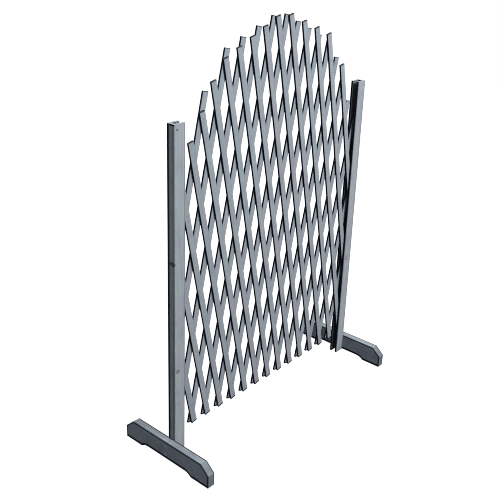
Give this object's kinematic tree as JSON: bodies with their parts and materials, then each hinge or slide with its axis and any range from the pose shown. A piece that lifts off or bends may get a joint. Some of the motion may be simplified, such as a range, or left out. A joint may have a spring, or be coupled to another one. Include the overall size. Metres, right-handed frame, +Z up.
{
  "type": "expanding trellis panel",
  "caption": "Free-standing expanding trellis of crossed slats with an arched top, held between slotted posts on long feet.",
  "frame": {"origin": "on the ground, midway between the two feet and at the middle of the panel's depth", "axes": "+X along the panel to its right post, +Y from its front to its back, +Z up"},
  "size_m": [0.824, 0.313, 1.1355],
  "materials": {
    "slat_wood": "matte grey wood stain over fine vertical grain",
    "post_wood": "matte grey wood stain over fine vertical grain",
    "foot_wood": "matte grey wood stain over fine vertical grain",
    "rivet_steel": "dull zinc",
    "screw_steel": "dull zinc"
  },
  "bodies": {
    "left_post": {"left_post_web": "post_wood", "left_post_front": "post_wood", "left_post_back": "post_wood", "left_foot": "foot_wood", "left_foot_screws": "screw_steel", "left_pivot_screw": "screw_steel"},
    "right_post": {"right_post_web": "post_wood", "right_post_front": "post_wood", "right_post_back": "post_wood", "right_foot": "foot_wood", "right_foot_screws": "screw_steel", "right_pivot_screw": "screw_steel"},
    "front_slat_01": {"front_slat_01": "slat_wood", "rivets_01": "rivet_steel"},
    "back_slat_01": {"back_slat_01": "slat_wood"},
    "front_slat_02": {"front_slat_02": "slat_wood", "rivets_02": "rivet_steel"},
    "back_slat_02": {"back_slat_02": "slat_wood"},
    "front_slat_03": {"front_slat_03": "slat_wood", "rivets_03": "rivet_steel"},
    "back_slat_03": {"back_slat_03": "slat_wood"},
    "front_slat_04": {"front_slat_04": "slat_wood", "rivets_04": "rivet_steel"},
    "back_slat_04": {"back_slat_04": "slat_wood"},
    "front_slat_05": {"front_slat_05": "slat_wood", "rivets_05": "rivet_steel"},
    "back_slat_05": {"back_slat_05": "slat_wood"},
    "front_slat_06": {"front_slat_06": "slat_wood", "rivets_06": "rivet_steel"},
    "back_slat_06": {"back_slat_06": "slat_wood"},
    "front_slat_07": {"front_slat_07": "slat_wood", "rivets_07": "rivet_steel"},
    "back_slat_07": {"back_slat_07": "slat_wood"},
    "front_slat_08": {"front_slat_08": "slat_wood", "rivets_08": "rivet_steel"},
    "back_slat_08": {"back_slat_08": "slat_wood"},
    "front_slat_09": {"front_slat_09": "slat_wood", "rivets_09": "rivet_steel"},
    "back_slat_09": {"back_slat_09": "slat_wood"},
    "front_slat_10": {"front_slat_10": "slat_wood", "rivets_10": "rivet_steel"},
    "back_slat_10": {"back_slat_10": "slat_wood"},
    "front_slat_11": {"front_slat_11": "slat_wood", "rivets_11": "rivet_steel"},
    "back_slat_11": {"back_slat_11": "slat_wood"},
    "front_slat_12": {"front_slat_12": "slat_wood", "rivets_12": "rivet_steel"},
    "back_slat_12": {"back_slat_12": "slat_wood"},
    "front_slat_13": {"front_slat_13": "slat_wood", "rivets_13": "rivet_steel"},
    "back_slat_13": {"back_slat_13": "slat_wood"},
    "front_slat_14": {"front_slat_14": "slat_wood", "rivets_14": "rivet_steel"},
    "back_slat_14": {"back_slat_14": "slat_wood"},
    "front_slat_15": {"front_slat_15": "slat_wood", "rivets_15": "rivet_steel"},
    "back_slat_15": {"back_slat_15": "slat_wood"},
    "front_slat_16": {"front_slat_16": "slat_wood", "rivets_16": "rivet_steel"},
    "back_slat_16": {"back_slat_16": "slat_wood"}
  },
  "joints": [
    {"name": "panel_spread", "type": "hinge", "parent": "left_post", "child": "back_slat_15", "pos_m": [-0.36648, 0, 0.33272], "axis": [0, 1, 0], "range_deg": [-7.8, 19.4]},
    {"name": "pivot_front_slat_01", "type": "hinge", "parent": "left_post", "child": "front_slat_01", "pos_m": [-0.36648, 0, 0.33272], "axis": [0, 1, 0], "range_deg": [-19.42, 7.82]},
    {"name": "pivot_front_slat_02", "type": "hinge", "parent": "back_slat_15", "child": "front_slat_02", "pos_m": [-0.3403, 0, 0.44983], "axis": [0, 1, 0], "range_deg": [-38.82, 15.62]},
    {"name": "pivot_front_slat_03", "type": "hinge", "parent": "back_slat_15", "child": "front_slat_03", "pos_m": [-0.31413, 0, 0.56694], "axis": [0, 1, 0], "range_deg": [-38.82, 15.62]},
    {"name": "pivot_front_slat_04", "type": "hinge", "parent": "back_slat_15", "child": "front_slat_04", "pos_m": [-0.28795, 0, 0.68405], "axis": [0, 1, 0], "range_deg": [-38.82, 15.62]},
    {"name": "pivot_front_slat_05", "type": "hinge", "parent": "back_slat_15", "child": "front_slat_05", "pos_m": [-0.26177, 0, 0.80116], "axis": [0, 1, 0], "range_deg": [-38.82, 15.62]},
    {"name": "pivot_front_slat_06", "type": "hinge", "parent": "back_slat_15", "child": "front_slat_06", "pos_m": [-0.23559, 0, 0.91827], "axis": [0, 1, 0], "range_deg": [-38.82, 15.62]},
    {"name": "pivot_front_slat_07", "type": "hinge", "parent": "back_slat_15", "child": "front_slat_07", "pos_m": [-0.20942, 0, 1.03538], "axis": [0, 1, 0], "range_deg": [-38.82, 15.62]},
    {"name": "pivot_back_slat_07", "type": "hinge", "parent": "front_slat_07", "child": "back_slat_07", "pos_m": [0, 0, 0.0985], "axis": [0, 1, 0], "range_deg": [-15.62, 38.82]},
    {"name": "pivot_back_slat_08", "type": "hinge", "parent": "front_slat_07", "child": "back_slat_08", "pos_m": [-0.02618, 0, 0.21561], "axis": [0, 1, 0], "range_deg": [-15.62, 38.82]},
    {"name": "pivot_back_slat_09", "type": "hinge", "parent": "front_slat_07", "child": "back_slat_09", "pos_m": [-0.05235, 0, 0.33272], "axis": [0, 1, 0], "range_deg": [-15.62, 38.82]},
    {"name": "pivot_back_slat_10", "type": "hinge", "parent": "front_slat_07", "child": "back_slat_10", "pos_m": [-0.07853, 0, 0.44983], "axis": [0, 1, 0], "range_deg": [-15.62, 38.82]},
    {"name": "pivot_back_slat_11", "type": "hinge", "parent": "front_slat_07", "child": "back_slat_11", "pos_m": [-0.10471, 0, 0.56694], "axis": [0, 1, 0], "range_deg": [-15.62, 38.82]},
    {"name": "pivot_back_slat_12", "type": "hinge", "parent": "front_slat_07", "child": "back_slat_12", "pos_m": [-0.13089, 0, 0.68405], "axis": [0, 1, 0], "range_deg": [-15.62, 38.82]},
    {"name": "pivot_back_slat_13", "type": "hinge", "parent": "front_slat_07", "child": "back_slat_13", "pos_m": [-0.15706, 0, 0.80116], "axis": [0, 1, 0], "range_deg": [-15.62, 38.82]},
    {"name": "pivot_back_slat_14", "type": "hinge", "parent": "front_slat_07", "child": "back_slat_14", "pos_m": [-0.18324, 0, 0.91827], "axis": [0, 1, 0], "range_deg": [-15.62, 38.82]},
    {"name": "pivot_front_slat_08", "type": "hinge", "parent": "back_slat_07", "child": "front_slat_08", "pos_m": [0.02618, 0, 0.21561], "axis": [0, 1, 0], "range_deg": [-38.82, 15.62]},
    {"name": "pivot_front_slat_09", "type": "hinge", "parent": "back_slat_07", "child": "front_slat_09", "pos_m": [0.05235, 0, 0.33272], "axis": [0, 1, 0], "range_deg": [-38.82, 15.62]},
    {"name": "pivot_front_slat_10", "type": "hinge", "parent": "back_slat_07", "child": "front_slat_10", "pos_m": [0.07853, 0, 0.44983], "axis": [0, 1, 0], "range_deg": [-38.82, 15.62]},
    {"name": "pivot_front_slat_11", "type": "hinge", "parent": "back_slat_07", "child": "front_slat_11", "pos_m": [0.10471, 0, 0.56694], "axis": [0, 1, 0], "range_deg": [-38.82, 15.62]},
    {"name": "pivot_front_slat_12", "type": "hinge", "parent": "back_slat_07", "child": "front_slat_12", "pos_m": [0.13089, 0, 0.68405], "axis": [0, 1, 0], "range_deg": [-38.82, 15.62]},
    {"name": "pivot_front_slat_13", "type": "hinge", "parent": "back_slat_07", "child": "front_slat_13", "pos_m": [0.15706, 0, 0.80116], "axis": [0, 1, 0], "range_deg": [-38.82, 15.62]},
    {"name": "pivot_front_slat_14", "type": "hinge", "parent": "back_slat_07", "child": "front_slat_14", "pos_m": [0.18324, 0, 0.91827], "axis": [0, 1, 0], "range_deg": [-38.82, 15.62]},
    {"name": "pivot_front_slat_15", "type": "hinge", "parent": "back_slat_07", "child": "front_slat_15", "pos_m": [0.20942, 0, 1.03538], "axis": [0, 1, 0], "range_deg": [-38.82, 15.62]},
    {"name": "pivot_back_slat_02", "type": "hinge", "parent": "front_slat_15", "child": "back_slat_02", "pos_m": [0.3403, 0, 0.44983], "axis": [0, 1, 0], "range_deg": [-15.62, 38.82]},
    {"name": "pivot_back_slat_03", "type": "hinge", "parent": "front_slat_15", "child": "back_slat_03", "pos_m": [0.31413, 0, 0.56694], "axis": [0, 1, 0], "range_deg": [-15.62, 38.82]},
    {"name": "pivot_back_slat_04", "type": "hinge", "parent": "front_slat_15", "child": "back_slat_04", "pos_m": [0.28795, 0, 0.68405], "axis": [0, 1, 0], "range_deg": [-15.62, 38.82]},
    {"name": "pivot_back_slat_05", "type": "hinge", "parent": "front_slat_15", "child": "back_slat_05", "pos_m": [0.26177, 0, 0.80116], "axis": [0, 1, 0], "range_deg": [-15.62, 38.82]},
    {"name": "pivot_back_slat_06", "type": "hinge", "parent": "front_slat_15", "child": "back_slat_06", "pos_m": [0.23559, 0, 0.91827], "axis": [0, 1, 0], "range_deg": [-15.62, 38.82]},
    {"name": "pivot_right_post", "type": "hinge", "parent": "front_slat_15", "child": "right_post", "pos_m": [0.36648, 0, 0.33272], "axis": [0, 1, 0], "range_deg": [-7.82, 19.42]},
    {"name": "pivot_back_slat_01", "type": "hinge", "parent": "right_post", "child": "back_slat_01", "pos_m": [0.36648, 0, 0.33272], "axis": [0, 1, 0], "range_deg": [-7.82, 19.42]},
    {"name": "pivot_back_slat_16", "type": "hinge", "parent": "front_slat_04", "child": "back_slat_16", "pos_m": [-0.31413, 0, 0.80116], "axis": [0, 1, 0], "range_deg": [-15.62, 38.82]},
    {"name": "pivot_front_slat_16", "type": "hinge", "parent": "back_slat_04", "child": "front_slat_16", "pos_m": [0.31413, 0, 0.80116], "axis": [0, 1, 0], "range_deg": [-38.82, 15.62]}
  ],
  "couplings": [
    {"joint": "pivot_front_slat_01", "follows": "panel_spread", "ratio": -1},
    {"joint": "pivot_front_slat_02", "follows": "panel_spread", "ratio": -2},
    {"joint": "pivot_front_slat_03", "follows": "panel_spread", "ratio": -2},
    {"joint": "pivot_front_slat_04", "follows": "panel_spread", "ratio": -2},
    {"joint": "pivot_front_slat_05", "follows": "panel_spread", "ratio": -2},
    {"joint": "pivot_front_slat_06", "follows": "panel_spread", "ratio": -2},
    {"joint": "pivot_front_slat_07", "follows": "panel_spread", "ratio": -2},
    {"joint": "pivot_back_slat_07", "follows": "panel_spread", "ratio": 2},
    {"joint": "pivot_back_slat_08", "follows": "panel_spread", "ratio": 2},
    {"joint": "pivot_back_slat_09", "follows": "panel_spread", "ratio": 2},
    {"joint": "pivot_back_slat_10", "follows": "panel_spread", "ratio": 2},
    {"joint": "pivot_back_slat_11", "follows": "panel_spread", "ratio": 2},
    {"joint": "pivot_back_slat_12", "follows": "panel_spread", "ratio": 2},
    {"joint": "pivot_back_slat_13", "follows": "panel_spread", "ratio": 2},
    {"joint": "pivot_back_slat_14", "follows": "panel_spread", "ratio": 2},
    {"joint": "pivot_front_slat_08", "follows": "panel_spread", "ratio": -2},
    {"joint": "pivot_front_slat_09", "follows": "panel_spread", "ratio": -2},
    {"joint": "pivot_front_slat_10", "follows": "panel_spread", "ratio": -2},
    {"joint": "pivot_front_slat_11", "follows": "panel_spread", "ratio": -2},
    {"joint": "pivot_front_slat_12", "follows": "panel_spread", "ratio": -2},
    {"joint": "pivot_front_slat_13", "follows": "panel_spread", "ratio": -2},
    {"joint": "pivot_front_slat_14", "follows": "panel_spread", "ratio": -2},
    {"joint": "pivot_front_slat_15", "follows": "panel_spread", "ratio": -2},
    {"joint": "pivot_back_slat_02", "follows": "panel_spread", "ratio": 2},
    {"joint": "pivot_back_slat_03", "follows": "panel_spread", "ratio": 2},
    {"joint": "pivot_back_slat_04", "follows": "panel_spread", "ratio": 2},
    {"joint": "pivot_back_slat_05", "follows": "panel_spread", "ratio": 2},
    {"joint": "pivot_back_slat_06", "follows": "panel_spread", "ratio": 2},
    {"joint": "pivot_right_post", "follows": "panel_spread", "ratio": 1},
    {"joint": "pivot_back_slat_01", "follows": "panel_spread", "ratio": 1},
    {"joint": "pivot_back_slat_16", "follows": "panel_spread", "ratio": 2},
    {"joint": "pivot_front_slat_16", "follows": "panel_spread", "ratio": -2}
  ]
}
